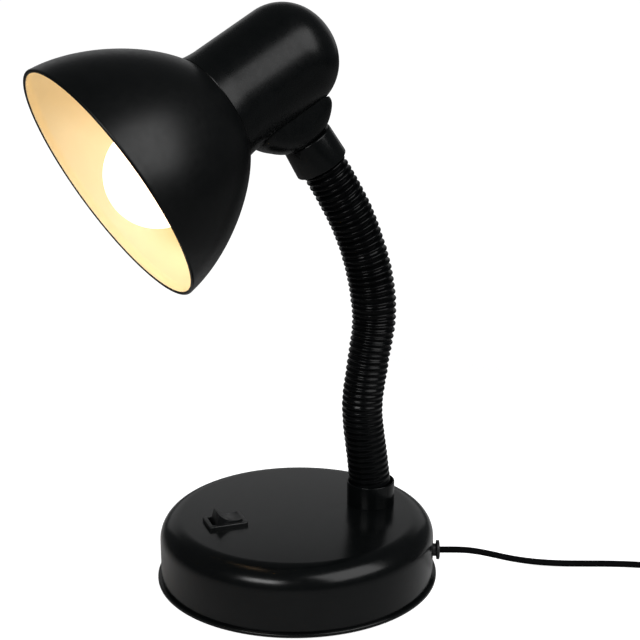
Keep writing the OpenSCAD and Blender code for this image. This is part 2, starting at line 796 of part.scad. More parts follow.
module holder_body() {
  outer_r = holder_d / 2;
  tail_r = holder_tail_d / 2;
  seat_r = thread_r + neck_fit;
  seat_z = -holder_back - thread_l - 2;
  front_r = outer_r - holder_wall;
  color(plastic_black) at_holder() difference() {
    turned([
      [0, 0], [tail_r - 1, 0], [tail_r, -1], [tail_r, -holder_tail_l], [outer_r, -holder_tail_l - 3],
      [outer_r, -holder_l], [front_r, -holder_l], [front_r, seat_z], [seat_r, seat_z],
      [seat_r, -holder_back], [0, -holder_back]
    ]);
    for (side = [-1, 1]) {
      translate([0, side * screw3_reach, -holder_back - lap])
        cylinder(h = holder_back + 2 * lap, d = screw3_d + 2 * screw_fit);
      translate([side * holder_lead_x, 0, -holder_back - lap])
        cylinder(h = holder_back + 2 * lap, d = lead_d + 0.3);
    }
  }
}

// The threaded shell that the bulb screws into
module holder_shell() {
  low = -holder_back - thread_l;
  root_r = thread_r - thread_wall;
  crest_r = root_r - thread_depth;
  turn = [[root_r, 0.1], [crest_r, 0.35], [crest_r, 0.65], [root_r, 0.9]];
  thread = [for (i = [0:thread_turns - 1], p = turn) [p[0], low + (i + p[1]) * thread_pitch]];
  color(brass) at_holder() turned(concat(
    [[thread_r, -holder_back], [thread_r, low], [root_r, low]], thread, [[root_r, -holder_back]]
  ));
}

module holder_contact() {
  color(brass) at_holder() translate([-3, -4.5, -holder_back - contact_t]) cube([6, 9, contact_t]);
}

module holder_screws() {
  color(steel) at_holder() for (side = [-1, 1])
    translate([0, side * screw3_reach, strap_t]) pan_screw(holder_back + strap_t - 0.2);
}

// Leads from the swivel to the back of the lampholder
module head_leads() {
  top = swivel_reach - nipple_high;
  color(copper_red) {
    at_swivel() translate([0, 0, -ferrule_seat]) lead_pair(nipple_high + ferrule_seat);
    at_head() for (side = [-1, 1]) flat_tube([
      [side * lead_pitch / 2, top, 0], [side * 2.2, top - 2.5, 0.4], [side * 6, top - 7, 1.5],
      in_holder([side * holder_lead_x, 3, 10]), in_holder([side * holder_lead_x, 0, 4]),
      in_holder([side * holder_lead_x, 0, -holder_back + 0.6])
    ], lead_d, lead_d, 6);
  }
}

// ---------------------------------------------------------------- bulb

bulb_tip_z = -holder_back - contact_t;
glass_z = bulb_tip_z - bulb_cap_l - button_l;

// Outline of the glass from the globe's far end to its neck, made smaller by inset
function glass_outline(inset) =
  let (
    r = bulb_d / 2, low = bulb_tip_z - bulb_l, globe = low + r, neck_r = bulb_cap_d / 2 - 0.4, turn = 28,
    a = [r * cos(turn), globe + r * sin(turn)], b = [neck_r, glass_z],
    curve = [a, a + 9 * [-sin(turn), cos(turn)], b - [0, 9], b]
  )
  concat(
    [for (t = [-90:8:turn - 4]) [(r - inset) * cos(t), globe + (r - inset) * sin(t)]],
    [for (i = [0:8]) cubic(curve, i / 8) - [inset, 0]]
  );

module bulb_glass() {
  outer = glass_outline(0);
  inner = glass_outline(glass_wall);
  color(lamp_white) at_holder() turned(concat(outer, [for (i = [len(inner) - 1:-1:0]) inner[i]]));
}

module bulb_cap() {
  crest_r = bulb_cap_d / 2;
  root_r = crest_r - thread_depth;
  turn = [[root_r, 0.1], [crest_r, 0.35], [crest_r, 0.65], [root_r, 0.9]];
  thread = [for (i = [0:4], p = turn) [p[0], glass_z + 1 + (i + p[1]) * thread_pitch]];
  color(steel) at_holder() turned(concat(
    [[0, glass_z], [root_r, glass_z]], thread,
    [[root_r, bulb_tip_z - button_l - 3.5], [6, bulb_tip_z - button_l], [4.5, bulb_tip_z - 0.6],
      [3.5, bulb_tip_z], [0, bulb_tip_z]]
  ));
}

// ---------------------------------------------------------------- cord and plug

module cord_run() {
  color(plastic_black) flat_tube(run_route, cord_w, cord_t);
}

module cord_coil() {
  band = coil_rows * cord_w;
  color(plastic_black) translate([coil_x, coil_y, 0]) rotate_extrude()
    translate([(coil_d - band) / 2, 0]) square([band, coil_layers * cord_t]);
}

module cord_tail() {
  color(plastic_black) flat_tube(tail_route, cord_w, cord_t);
}

// Frame of the plug: the cord enters at its origin, +Z towards the pins
module at_plug() {
  translate([plug_rear_x, plug_y, plug_z]) rotate([0, -90, 0]) children();
}

module plug_body() {
  corner = 5;
  color(plastic_black) at_plug() {
    cylinder(h = boot_l + lap, d1 = cord_w + 2.6, d2 = 12.5);
    translate([0, 0, boot_l]) hull() {
      for (side = [-1, 1]) translate([0, side * (plug_w / 2 - corner - 3), 0])
        cylinder(h = 2, d = plug_t - 4, $fn = 32);
      for (side = [-1, 1]) translate([0, side * (plug_w - plug_t) / 2, 8])
        cylinder(h = plug_l - 8, d = plug_t, $fn = 32);
    }
  }
}

module plug_pins() {
  color(steel) at_plug() for (side = [-1, 1]) translate([0, side * pin_step / 2, boot_l + plug_l]) {
    cylinder(h = sleeve_pin_l + lap, d = sleeve_pin_d);
    translate([0, 0, sleeve_pin_l]) cylinder(h = pin_l - sleeve_pin_l - 1, d = pin_d);
    translate([0, 0, pin_l - 1]) cylinder(h = 1, d1 = pin_d, d2 = pin_d - 1.6);
  }
}

// ---------------------------------------------------------------- nodes

base_pad();
base_plate();
ballast_weight();
base_shell();
base_posts();
plate_screws();
cord_gland();
cord_clamp();
clamp_screws();
switch_housing();
switch_rocker();
switch_terminals();
base_leads();
neck_collar();
neck_stud();
neck_nut();
for (k = [0:links - 1]) {
  neck_sleeve(k);
  neck_core(k);
  neck_lead(k);
}
upper_ferrule();
swivel_knuckle();
swivel_nipple();
swivel_nuts();
cap_housing();
holder_bracket();
holder_body();
holder_shell();
holder_contact();
holder_screws();
head_leads();
shade();
shade_ring();
bulb_glass();
bulb_cap();
cord_run();
cord_coil();
cord_tail();
plug_body();
plug_pins();
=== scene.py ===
"""Looks of the gooseneck desk lamp. Points are in millimetres of the lamp's frame until a mesh is made."""

import json
import math

import bmesh
import bpy
import numpy as np
from mathutils import Matrix, Vector


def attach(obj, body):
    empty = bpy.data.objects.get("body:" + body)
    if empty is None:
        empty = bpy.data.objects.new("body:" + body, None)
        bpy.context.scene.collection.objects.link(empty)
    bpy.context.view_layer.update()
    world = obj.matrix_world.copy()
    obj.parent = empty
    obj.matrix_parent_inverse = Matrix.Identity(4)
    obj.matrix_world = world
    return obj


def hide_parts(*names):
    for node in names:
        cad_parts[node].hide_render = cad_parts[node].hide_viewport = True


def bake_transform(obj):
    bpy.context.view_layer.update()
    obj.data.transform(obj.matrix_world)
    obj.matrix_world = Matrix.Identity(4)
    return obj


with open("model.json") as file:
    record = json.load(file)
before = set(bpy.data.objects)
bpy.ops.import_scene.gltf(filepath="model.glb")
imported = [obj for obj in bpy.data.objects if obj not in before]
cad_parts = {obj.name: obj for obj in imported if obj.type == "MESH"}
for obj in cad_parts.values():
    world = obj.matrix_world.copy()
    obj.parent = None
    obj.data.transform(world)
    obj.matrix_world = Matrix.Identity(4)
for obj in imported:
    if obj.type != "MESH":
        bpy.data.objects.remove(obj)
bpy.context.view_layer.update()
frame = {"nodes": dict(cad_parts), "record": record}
scene = bpy.context.scene
MM = 0.001
rng = np.random.default_rng(7)


def sin(degrees):
    return np.sin(np.radians(degrees))


def cos(degrees):
    return np.cos(np.radians(degrees))


def turn_x(a):
    return np.array([[1, 0, 0], [0, cos(a), -sin(a)], [0, sin(a), cos(a)]])


def turn_y(a):
    return np.array([[cos(a), 0, sin(a)], [0, 1, 0], [-sin(a), 0, cos(a)]])


def turn_z(a):
    return np.array([[cos(a), -sin(a), 0], [sin(a), cos(a), 0], [0, 0, 1]])


# ------------------------------------------------------------------ sizes and places

# Base, and where the switch, the neck and the cord's gland are on it
PLATE_R = 75.0
PLATE_LOW, PLATE_TOP = 1.2, 3.2
SHELL_R = 73.1
SHELL_TOP = 35.5
SHEET = 1.0
SHOULDER = 12.0
SWITCH_Y = -39.8
NECK_Y = 42.5
STUD_R = 5.1
GLAND_WAY = turn_z(-19.8) @ turn_x(-90)
GLAND_AT = (0, 0, 13.2)

# Switch: half sizes across and along the lamp
BEZEL, HOUSING, OPENING = (7.5, 10.5), (6.35, 9.5), (5.2, 8.35)

# Neck: the lean of each link from upright and its length, from the foot up
FOOT_Z = 39.75
LEAN = [-5, -7.5, 4, 7.5, -6, -19, -29.5, -31]
LINKS = [14.5] + [28.5] * 6 + [11]
JOINTS = [np.array([0, NECK_Y, FOOT_Z])]
for lean, link in zip(LEAN, LINKS):
    JOINTS.append(JOINTS[-1] + link * np.array([0, sin(lean), cos(lean)]))

# Head: its frame has the cap's axis as Z, up to the dome. The bulb's holder is tilted in it.
HEAD_TURN = 8.9
HEAD_UP = 39.2
SWIVEL = turn_x(-LEAN[-1])
FERRULE = JOINTS[7] + SWIVEL @ [0, 0, 20.0]
HEAD = SWIVEL @ turn_z(HEAD_TURN) @ turn_x(-91.3)
HEAD_AT = FERRULE + SWIVEL @ [0, 0, HEAD_UP]
HOLDER = HEAD @ turn_x(5.3)
HOLDER_AT = HEAD_AT + HEAD @ [0, 4, -10.7]
NIPPLE_R = 5.06
CAP_R = 27.5
CAP_TOP = 36.4
CAP_RIM = -31.8
MOUTH = -97.8
BULB_GLOW = 3.05

# Flat twin cord. Its run and its tail are the CAD's own points, and the coil lies between them.
CORD_W, CORD_T = 4.4, 2.7
RUN = [(26, 72.2, 13.2), (28.3, 78.5, 13.2), (30.5, 85.5, 12.8), (32.5, 92.5, 11.6), (34.5, 100.5, 9.4),
       (36.6, 109, 6.9), (38.6, 118.5, 4.6), (40.6, 128, 2.9), (43.3, 138.5, 1.8), (46.7, 149.5, 1.35),
       (50.9, 160.5, 1.35), (55.7, 171.5, 1.35), (61.3, 182, 1.35), (67.3, 192.5, 1.35), (72.5, 201.8, 1.35)]
TAIL = [(44.5, 263, 9.5), (38, 263.2, 8.8), (31.5, 262.5, 7.4), (26.5, 262, 6.85), (22, 262, 6.85)]
COIL_AT = np.array([51, 228, 0])
COIL_R = 30.9
ROUNDS = 3

# ------------------------------------------------------------------ shapes, which are points and faces


def lathe(profile, n=128, closed=False):
    """(r, z) points turned round Z. An open profile starts and ends on the axis."""
    verts, rows, faces = [], [], []
    angles = 2 * math.pi * np.arange(n) / n
    for r, z in profile:
        if r < 1e-6:
            rows.append([len(verts)] * n)
            verts.append((0, 0, z))
        else:
            rows.append(list(range(len(verts), len(verts) + n)))
            verts += [(r * math.cos(a), r * math.sin(a), z) for a in angles]
    pairs = list(zip(rows, rows[1:])) + ([(rows[-1], rows[0])] if closed else [])
    for a, b in pairs:
        for i in range(n):
            j = (i + 1) % n
            face = [a[i], a[j], b[j], b[i]]
            face = [v for k, v in enumerate(face) if v != face[k - 1]]
            if len(face) > 2:
                faces.append(face)
    return np.array(verts, float), faces


def skin(rings, closed=False):
    """A surface over rings of equally many points, with flat ends or closed into a loop."""
    count, n = len(rings), len(rings[0])
    faces = []
    for a in range(count if closed else count - 1):
        b = (a + 1) % count
        faces += [(a * n + i, a * n + (i + 1) % n, b * n + (i + 1) % n, b * n + i) for i in range(n)]
    if not closed:
        faces += [tuple(range(n)), tuple((count - 1) * n + i for i in range(n))]
    return np.vstack(rings), faces


def sweep(path, section, sides):
    """A section along a path. sides is each path point's first direction across it."""
    path, section = np.asarray(path, float), np.asarray(section, float)
    ahead = np.gradient(path, axis=0)
    ahead /= np.linalg.norm(ahead, axis=1)[:, None]
    sides = sides - (sides * ahead).sum(1)[:, None] * ahead
    sides /= np.linalg.norm(sides, axis=1)[:, None]
    ups = np.cross(ahead, sides)
    return skin(path[:, None] + sides[:, None] * section[None, :, :1] + ups[:, None] * section[None, :, 1:])


def block(low, high):
    (a, b, c), (d, e, f) = low, high
    verts = [(a, b, c), (d, b, c), (d, e, c), (a, e, c), (a, b, f), (d, b, f), (d, e, f), (a, e, f)]
    faces = [(3, 2, 1, 0), (4, 5, 6, 7), (0, 1, 5, 4), (1, 2, 6, 5), (2, 3, 7, 6), (3, 0, 4, 7)]
    return np.array(verts, float), faces


def rod(r, low, high):
    return lathe([(0, low), (r, low), (r, high), (0, high)], 64)


def placed(shape, turn=np.eye(3), at=(0, 0, 0)):
    """A shape brought from a frame of its own into the lamp's."""
    verts, faces = shape
    return verts @ turn.T + np.asarray(at, float), faces


def joined(*shapes):
    """Several shapes as one."""
    verts, faces = np.empty((0, 3)), []
    for points, own in shapes:
        faces += [tuple(v + len(verts) for v in face) for face in own]
        verts = np.vstack([verts, points])
    return verts, faces


# ------------------------------------------------------------------ outlines


def rounded(points, closed=False, steps=7):
    """The points' outline, with corner (a, b, radius) rounded to that radius."""
    out, n = [], len(points)
    for i, p in enumerate(points):
        b = np.array(p[:2], float)
        r = p[2] if len(p) > 2 else 0
        if not r or (not closed and i in (0, n - 1)):
            out.append(tuple(b))
            continue
        u = np.array(points[i - 1][:2], float) - b
        v = np.array(points[(i + 1) % n][:2], float) - b
        lu, lv = np.linalg.norm(u), np.linalg.norm(v)
        u, v = u / lu, v / lv
        half = math.acos(max(-1, min(1, u @ v))) / 2
        d = min(r / math.tan(half), 0.98 * lu, 0.98 * lv)
        r = d * math.tan(half)
        centre = b + (u + v) / np.linalg.norm(u + v) * r / math.sin(half)
        start, end = b + u * d - centre, b + v * d - centre
        angle = math.pi - 2 * half
        for t in np.arange(steps + 1) / steps:
            w = (start * math.sin((1 - t) * angle) + end * math.sin(t * angle)) / math.sin(angle)
            out.append(tuple(centre + w))
    return out


def bezier(a, b, c, d, steps):
    t = np.linspace(0, 1, steps + 1)[:, None]
    return a * (1 - t) ** 3 + 3 * b * t * (1 - t) ** 2 + 3 * c * t * t * (1 - t) + d * t**3


def spline(points, step):
    """Points about step apart on a smooth line through the points."""
    p = np.asarray(points, float)
    p = np.vstack([2 * p[0] - p[1], p, 2 * p[-1] - p[-2]])
    out = []
    for a, b, c, d in zip(p, p[1:], p[2:], p[3:]):
        n = max(1, int(round(np.linalg.norm(c - b) / step)))
        for t in np.arange(n) / n:
            bend = (2 * a - 5 * b + 4 * c - d) * t * t + (3 * b - a - 3 * c + d) * t**3
            out.append(0.5 * (2 * b + (c - a) * t + bend))
    out.append(p[-2])
    return np.array(out)


def ease(t):
    """0 to 1 with a soft start and a soft end."""
    return t * t * (3 - 2 * t)


# ------------------------------------------------------------------ pieces


def smooth(mesh, crease):
    mesh.polygons.foreach_set("use_smooth", [True] * len(mesh.polygons))
    mesh.set_sharp_from_angle(angle=math.radians(crease))
    mesh.update()


def piece(name, shape, *materials, crease=35, tones=None):
    """A smooth-shaded mesh. tones gives the number of each face's material where there are two."""
    verts, faces = shape
    mesh = bpy.data.meshes.new(name)
    mesh.from_pydata((verts * MM).tolist(), [], faces)
    for material in materials:
        mesh.materials.append(material)
    if tones is not None:
        mesh.polygons.foreach_set("material_index", tones)
    bm = bmesh.new()
    bm.from_mesh(mesh)
    bmesh.ops.recalc_face_normals(bm, faces=bm.faces)
    bm.to_mesh(mesh)
    bm.free()
    smooth(mesh, crease)
    obj = bpy.data.objects.new(name, mesh)
    scene.collection.objects.link(obj)
    return obj


def carve(obj, cutters, crease=35, operation="DIFFERENCE"):
    """Cuts the shapes in cutters out of obj one by one, or adds them to it where operation is UNION."""
    for shape in cutters:
        cutter = piece("cutter", shape, obj.data.materials[0])
        change = obj.modifiers.new("cut", "BOOLEAN")
        change.operation, change.solver, change.object = operation, "EXACT", cutter
        before, tool = obj.data, cutter.data
        changed = obj.evaluated_get(bpy.context.evaluated_depsgraph_get())
        after = bpy.data.meshes.new_from_object(changed)
        obj.modifiers.clear()
        obj.data = after
        bpy.data.objects.remove(cutter)
        bpy.data.meshes.remove(before)
        bpy.data.meshes.remove(tool)
    smooth(obj.data, crease)


def belongs(obj, body, slot, *nodes):
    """Lets a piece ride on a body and stand for CAD nodes. The slot is not used."""
    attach(obj, body)
    if nodes:
        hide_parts(*nodes)


# ------------------------------------------------------------------ materials

LOOKS = {}


class Tree:
    """A material's nodes, made one after another."""

    def __init__(self, name, specular, metal=0.0):
        self.material = LOOKS[name] = bpy.data.materials.new(name)
        self.material.use_nodes = True
        self.tree = self.material.node_tree
        self.shader = self.tree.nodes["Principled BSDF"]
        self.shader.inputs["Specular IOR Level"].default_value = specular
        self.shader.inputs["Metallic"].default_value = metal
        self.place = self.add("ShaderNodeTexCoord").outputs["Object"]

    def add(self, kind, **values):
        node = self.tree.nodes.new(kind)
        for key, value in values.items():
            if key in node.inputs:
                node.inputs[key].default_value = value
            else:
                setattr(node, key, value)
        return node

    def link(self, a, b):
        self.tree.links.new(a, b)

    def noise(self, size, detail, stretch=None):
        """Noise with features of a size in millimetres."""
        node = self.add("ShaderNodeTexNoise", Scale=1 / (size * MM), Detail=detail, Roughness=0.55)
        if stretch:
            shift = self.add("ShaderNodeMapping", Scale=stretch)
            self.link(self.place, shift.inputs["Vector"])
            self.link(shift.outputs["Vector"], node.inputs["Vector"])
        else:
            self.link(self.place, node.inputs["Vector"])
        return node.outputs["Fac"]

    def reach(self):
        """Distance from the lamp's middle, in metres."""
        node = self.add("ShaderNodeVectorMath", operation="LENGTH")
        self.link(self.place, node.inputs[0])
        return node.outputs["Value"]

    def spread(self, value, low, high, start=0.3, end=0.7):
        """A number from low to high while value goes from start to end."""
        limits = {"From Min": start, "From Max": end, "To Min": low, "To Max": high}
        node = self.add("ShaderNodeMapRange", **limits)
        self.link(value, node.inputs["Value"])
        return node.outputs["Result"]

    def tint(self, value, a, b, start=0.3, end=0.7):
        """A colour from a to b while value goes from start to end."""
        node = self.add("ShaderNodeValToRGB")
        for stop, position, colour in zip(node.color_ramp.elements, (start, end), (a, b)):
            stop.position, stop.color = position, (*colour, 1)
        self.link(value, node.inputs["Fac"])
        return node.outputs["Color"]

    def bump(self, value, height, onto=None):
        """Relief of a height in millimetres."""
        node = self.add("ShaderNodeBump", Strength=1.0, Distance=height * MM)
        self.link(value, node.inputs["Height"])
        if onto is not None:
            self.link(onto, node.inputs["Normal"])
        return node.outputs["Normal"]

    def finish(self, colour, rough, normal):
        for value, key in ((colour, "Base Color"), (rough, "Roughness"), (normal, "Normal")):
            self.link(value, self.shader.inputs[key])
        return self.material


def coat(name, dark, light, rough, specular, peel, grain, metal=0.0, patch=9.0, stretch=None,
         grain_size=0.25):
    """A paint, plastic or metal: two tones in patches, uneven gloss, soft peel and fine grain. The heights of
    peel and grain and the sizes of patch and grain are in millimetres."""
    t = Tree(name, specular, metal)
    colour = t.tint(t.noise(patch, 4, stretch), dark, light)
    gloss = t.spread(t.noise(patch / 3, 2, stretch), *rough)
    normal = t.bump(t.noise(1.6, 2), peel)
    normal = t.bump(t.noise(grain_size, 2, stretch), grain, normal)
    return t.finish(colour, gloss, normal)


def foam():
    """Dark foam with fine cells."""
    t = Tree("pad_foam", 0.3)
    cells = t.add("ShaderNodeTexVoronoi", Scale=1400.0)
    t.link(t.place, cells.inputs["Vector"])
    colour = t.tint(cells.outputs["Distance"], (0.010, 0.010, 0.010), (0.03, 0.03, 0.03), 0.1, 0.6)
    return t.finish(colour, t.spread(t.noise(3, 4), 0.8, 0.95), t.bump(cells.outputs["Distance"], 0.12))


def lit_glass():
    """Frosted glass of a bulb that is lit."""
    t = Tree("frosted_glass", 0.5)
    t.shader.inputs["Emission Color"].default_value = (1.0, 0.65, 0.39, 1)
    glow = t.spread(t.noise(14, 2), BULB_GLOW * 0.96, BULB_GLOW * 1.04)
    t.link(glow, t.shader.inputs["Emission Strength"])
    colour = t.tint(t.noise(9, 4), (0.90, 0.89, 0.86), (0.94, 0.93, 0.90))
    return t.finish(colour, t.spread(t.noise(2, 4), 0.35, 0.5), t.bump(t.noise(0.2, 2), 0.004))


black_paint = coat("black_paint", (0.0016, 0.0020, 0.0021), (0.0024, 0.0028, 0.0029), rough=(0.19, 0.23),
                   specular=0.16, peel=0.0010, grain=0.0002)
cap_paint = coat("cap_paint", (0.0014, 0.0018, 0.0019), (0.0022, 0.0026, 0.0027), rough=(0.25, 0.31),
                 specular=0.14, peel=0.0008, grain=0.0002)
shade_paint = coat("shade_paint", (0.0014, 0.0017, 0.0018), (0.0022, 0.0025, 0.0026), rough=(0.31, 0.37),
                   specular=0.175, peel=0.0012, grain=0.0003)
enamel = coat("cream_enamel", (0.80, 0.74, 0.51), (0.82, 0.76, 0.53), rough=(0.42, 0.5), specular=0.3,
              peel=0.002, grain=0.0005)
sleeve_plastic = coat("sleeve_plastic", (0.0010, 0.0012, 0.0013), (0.0018, 0.0020, 0.0022),
                      rough=(0.17, 0.24), specular=0.09, peel=0.003, grain=0.001)
switch_plastic = coat("switch_plastic", (0.0020, 0.0022, 0.0024), (0.0030, 0.0033, 0.0035),
                      rough=(0.32, 0.42), specular=0.3, peel=0.002, grain=0.006, grain_size=0.12)
cord_plastic = coat("cord_plastic", (0.0016, 0.0017, 0.0018), (0.0026, 0.0027, 0.0029), rough=(0.55, 0.65),
                    specular=0.02, peel=0.006, grain=0.002)
plug_plastic = coat("plug_plastic", (0.010, 0.010, 0.011), (0.014, 0.014, 0.015), rough=(0.40, 0.50),
                    specular=0.4, peel=0.002, grain=0.008, grain_size=0.15)
frosted_glass = lit_glass()
coat("lead_insulation", (0.30, 0.06, 0.035), (0.38, 0.09, 0.05), rough=(0.30, 0.40), specular=0.5, peel=0.006,
     grain=0.002)
coat("zinc_steel", (0.50, 0.51, 0.53), (0.62, 0.63, 0.66), rough=(0.26, 0.42), specular=0.5, peel=0.003,
     grain=0.006, metal=1.0, patch=5.0, stretch=(1, 1, 0.12))
coat("cast_iron", (0.09, 0.085, 0.08), (0.16, 0.15, 0.145), rough=(0.55, 0.8), specular=0.4, peel=0.10,
     grain=0.05, metal=0.6, patch=6.0, grain_size=0.8)
coat("contact_brass", (0.62, 0.42, 0.16), (0.72, 0.52, 0.22), rough=(0.24, 0.40), specular=0.5, peel=0.003,
     grain=0.004, metal=1.0, patch=4.0)
coat("pin_metal", (0.62, 0.61, 0.58), (0.70, 0.69, 0.67), rough=(0.18, 0.28), specular=0.5, peel=0.002,
     grain=0.002, metal=1.0, patch=4.0)
foam()

# The CAD's parts take the material that has their slot's name
for part in frame["record"]["subparts"]:
    node = frame["nodes"][part["node"]]
    node.data.materials.clear()
    node.data.materials.append(LOOKS[part["material_slot"]])

# ------------------------------------------------------------------ base


def base_drum():
    """Pressed shell with a rounded shoulder, open below. Switch, neck and gland have holes in it."""
    inner_r, inner_top = SHELL_R - SHEET, SHELL_TOP - SHEET
    outline = rounded([
        (0, SHELL_TOP), (SHELL_R, SHELL_TOP, SHOULDER), (SHELL_R, PLATE_TOP, 0.3), (inner_r, PLATE_TOP, 0.3),
        (inner_r, inner_top, SHOULDER - SHEET), (0, inner_top)], steps=14)
    drum = piece("base_drum", lathe(outline, 192), black_paint)
    carve(drum, [
        switch_block(HOUSING, 30, 40, room=0.1),
        placed(rod(STUD_R, 30, 40), at=(0, NECK_Y, 0)),
        placed(rod(3.5, 60, 90), GLAND_WAY, GLAND_AT),
    ])
    belongs(drum, "base", "black_paint", "base_shell")


def base_plate_rim():
    """Plate whose edge stands proud of the shell, with a step on top that centres the shell."""
    step_r, step_top = SHELL_R - SHEET - 0.15, PLATE_TOP + 1.5
    outline = rounded([
        (0, PLATE_LOW), (PLATE_R, PLATE_LOW, 0.5), (PLATE_R, PLATE_TOP, 0.9), (step_r, PLATE_TOP),
        (step_r, step_top, 0.2), (0, step_top)])
    plate = piece("base_plate_rim", lathe(outline, 192), black_paint)
    belongs(plate, "base", "black_paint", "base_plate")


def foot_collar():
    """Cup on the shell's top, with a thin rim round the sleeve's end."""
    outer, inner, top, floor = 12.9, 12.1, 48, SHELL_TOP + 1
    outline = rounded([
        (STUD_R, SHELL_TOP), (outer, SHELL_TOP, 0.2), (outer, top, 0.38), (inner, top, 0.38),
        (inner, floor, 0.5), (STUD_R, floor)], closed=True)
    collar = piece("foot_collar", placed(lathe(outline, closed=True), at=(0, NECK_Y, 0)), black_paint)
    belongs(collar, "base", "black_paint", "neck_collar")


# ------------------------------------------------------------------ switch


def switch_block(half, low, high, room=0.0):
    """Block round the switch's middle, from half sizes that are widened by some room."""
    x, y = half[0] + room, half[1] + room
    return block((-x, SWITCH_Y - y, low), (x, SWITCH_Y + y, high))


def switch_bezel():
    """Frame with rounded corners and a soft upper edge, and the housing under it."""
    rim_top = SHELL_TOP + 2
    bezel = piece("switch_bezel", switch_block(BEZEL, SHELL_TOP, rim_top), switch_plastic)
    bm = bmesh.new()
    bm.from_mesh(bezel.data)
    corners = [e for e in bm.edges if abs(e.verts[0].co.z - e.verts[1].co.z) > 1e-4]
    bmesh.ops.bevel(bm, geom=corners, offset=1.1 * MM, segments=5, affect="EDGES", profile=0.5)
    upper = [e for e in bm.edges if all(abs(v.co.z - rim_top * MM) < 1e-6 for v in e.verts)]
    bmesh.ops.bevel(bm, geom=upper, offset=0.75 * MM, segments=4, affect="EDGES", profile=0.6)
    bm.to_mesh(bezel.data)
    bm.free()
    carve(bezel, [switch_block(HOUSING, 22, 36.2)], operation="UNION")
    carve(bezel, [switch_block(OPENING, 29.5, 40)])
    belongs(bezel, "base", "switch_plastic", "switch_housing")


def switch_paddle():
    """Rocker with a hollow face, between two flat sides with soft edges."""
    half_length, half_width = 6.7, 5.02
    rise, dip, drop = 6.05, 2.1, 3.0
    face_r = (half_length**2 + dip**2) / (2 * dip)
    face = [(y, rise - dip + face_r - math.sqrt(face_r**2 - y * y))
            for y in np.linspace(-half_length + 0.25, half_length - 0.25, 25)]
    section = np.array(rounded(
        [(half_length, -drop, 0.4), (-half_length, -drop, 0.4), (-half_length, rise, 0.3)] + face
        + [(half_length, rise, 0.3)], closed=True, steps=4))
    outward = section - section.mean(axis=0)
    outward /= np.linalg.norm(outward, axis=1)[:, None]
    edge = [(0, 0.28), (0.08, 0.12), (0.28, 0)]
    rows = [(-half_width + x, inset) for x, inset in edge]
    rows += [(half_width - x, inset) for x, inset in edge[::-1]]
    rings = [np.column_stack([np.full(len(section), x), section - outward * inset]) for x, inset in rows]
    shape = placed(skin(rings), turn_x(-17), (0, SWITCH_Y, 35))
    paddle = piece("switch_paddle", shape, switch_plastic, crease=40)
    belongs(paddle, "rocker", "switch_plastic", "switch_rocker")


base_drum()
base_plate_rim()
foot_collar()
switch_bezel()
switch_paddle()

# ------------------------------------------------------------------ neck

PITCH = 3.2
BEAD = 0.26  # half of a rib's width, in pitches
GROOVE_R = 9.2  # no groove is deeper
BORE_R = 8.45
AROUND = 2 * math.pi * np.arange(72) / 72

# Outside diameter, depth of the grooves and how far the ribs are pulled flat, by height
SLEEVE = np.array([
    # z, diameter, depth, flat
    [40, 22.3, 0.30, 1.0], [54, 22.4, 0.30, 1.0], [71, 21.9, 0.34, 1.0], [90, 21.6, 0.42, 0.9],
    [105, 22.0, 0.60, 0.7], [120, 22.1, 0.85, 0.5], [135, 22.8, 1.15, 0.3], [150, 23.9, 1.7, 0.1],
    [162, 24.2, 2.0, 0.0], [180, 23.8, 2.0, 0.0], [210, 23.9, 2.0, 0.0], [240, 23.0, 1.8, 0.0],
])

# Middle of the sleeve's outside, which sits loosely on the links: y and z
LOOSE = spline([(42.6, 42), (40.6, 60), (37.4, 90), (40.4, 115), (43.8, 140), (40.8, 165), (32.8, 190),
                (22.2, 211), (9.3, 232)], 1)


def neck_line():
    """The neck's centre line from the foot to the ferrule, round at the joints: its points, the length up to
    each, and the length up to the middle of each link."""
    end_steps, bend_steps = 60, 240
    middles = [(a + b) / 2 for a, b in zip(JOINTS, JOINTS[1:])]
    points = [JOINTS[0] + (middles[0] - JOINTS[0]) * t for t in np.arange(end_steps) / end_steps]
    for a, b, c in zip(middles, JOINTS[1:], middles[1:]):
        for t in np.arange(bend_steps) / bend_steps:
            points.append(a * (1 - t) ** 2 + 2 * b * t * (1 - t) + c * t * t)
    points += [middles[-1] + (JOINTS[-1] - middles[-1]) * t for t in np.linspace(0, 1, end_steps)]
    lengths = np.concatenate([[0], np.cumsum(np.linalg.norm(np.diff(points, axis=0), axis=1))])
    return np.array(points), lengths, [lengths[end_steps + bend_steps * k] for k in range(len(middles))]


LINE, LENGTHS, MIDDLE_AT = neck_line()
AHEAD = np.gradient(LINE, axis=0)
HEADING = np.unwrap(np.arctan2(AHEAD[:, 1], AHEAD[:, 2]))
BENDING = np.gradient(np.convolve(HEADING, np.ones(241) / 241, "same"), LENGTHS)
UNEVEN = rng.normal(0, 1, (int(LENGTHS[-1] / PITCH) + 2, 3))


def ring(centre, heading, radius):
    """Points round a centre on the neck, square to its heading there."""
    across = np.array([0, math.cos(heading), -math.sin(heading)])
    spokes = np.cos(AROUND)[:, None] * across + np.sin(AROUND)[:, None] * [1, 0, 0]
    return centre + np.reshape(radius, (-1, 1)) * spokes


def bore_ring(s):
    """Ring of the sleeve's bore at length s."""
    centre = np.array([0, np.interp(s, LENGTHS, LINE[:, 1]), np.interp(s, LENGTHS, LINE[:, 2])])
    return ring(centre, np.interp(s, LENGTHS, HEADING), BORE_R)


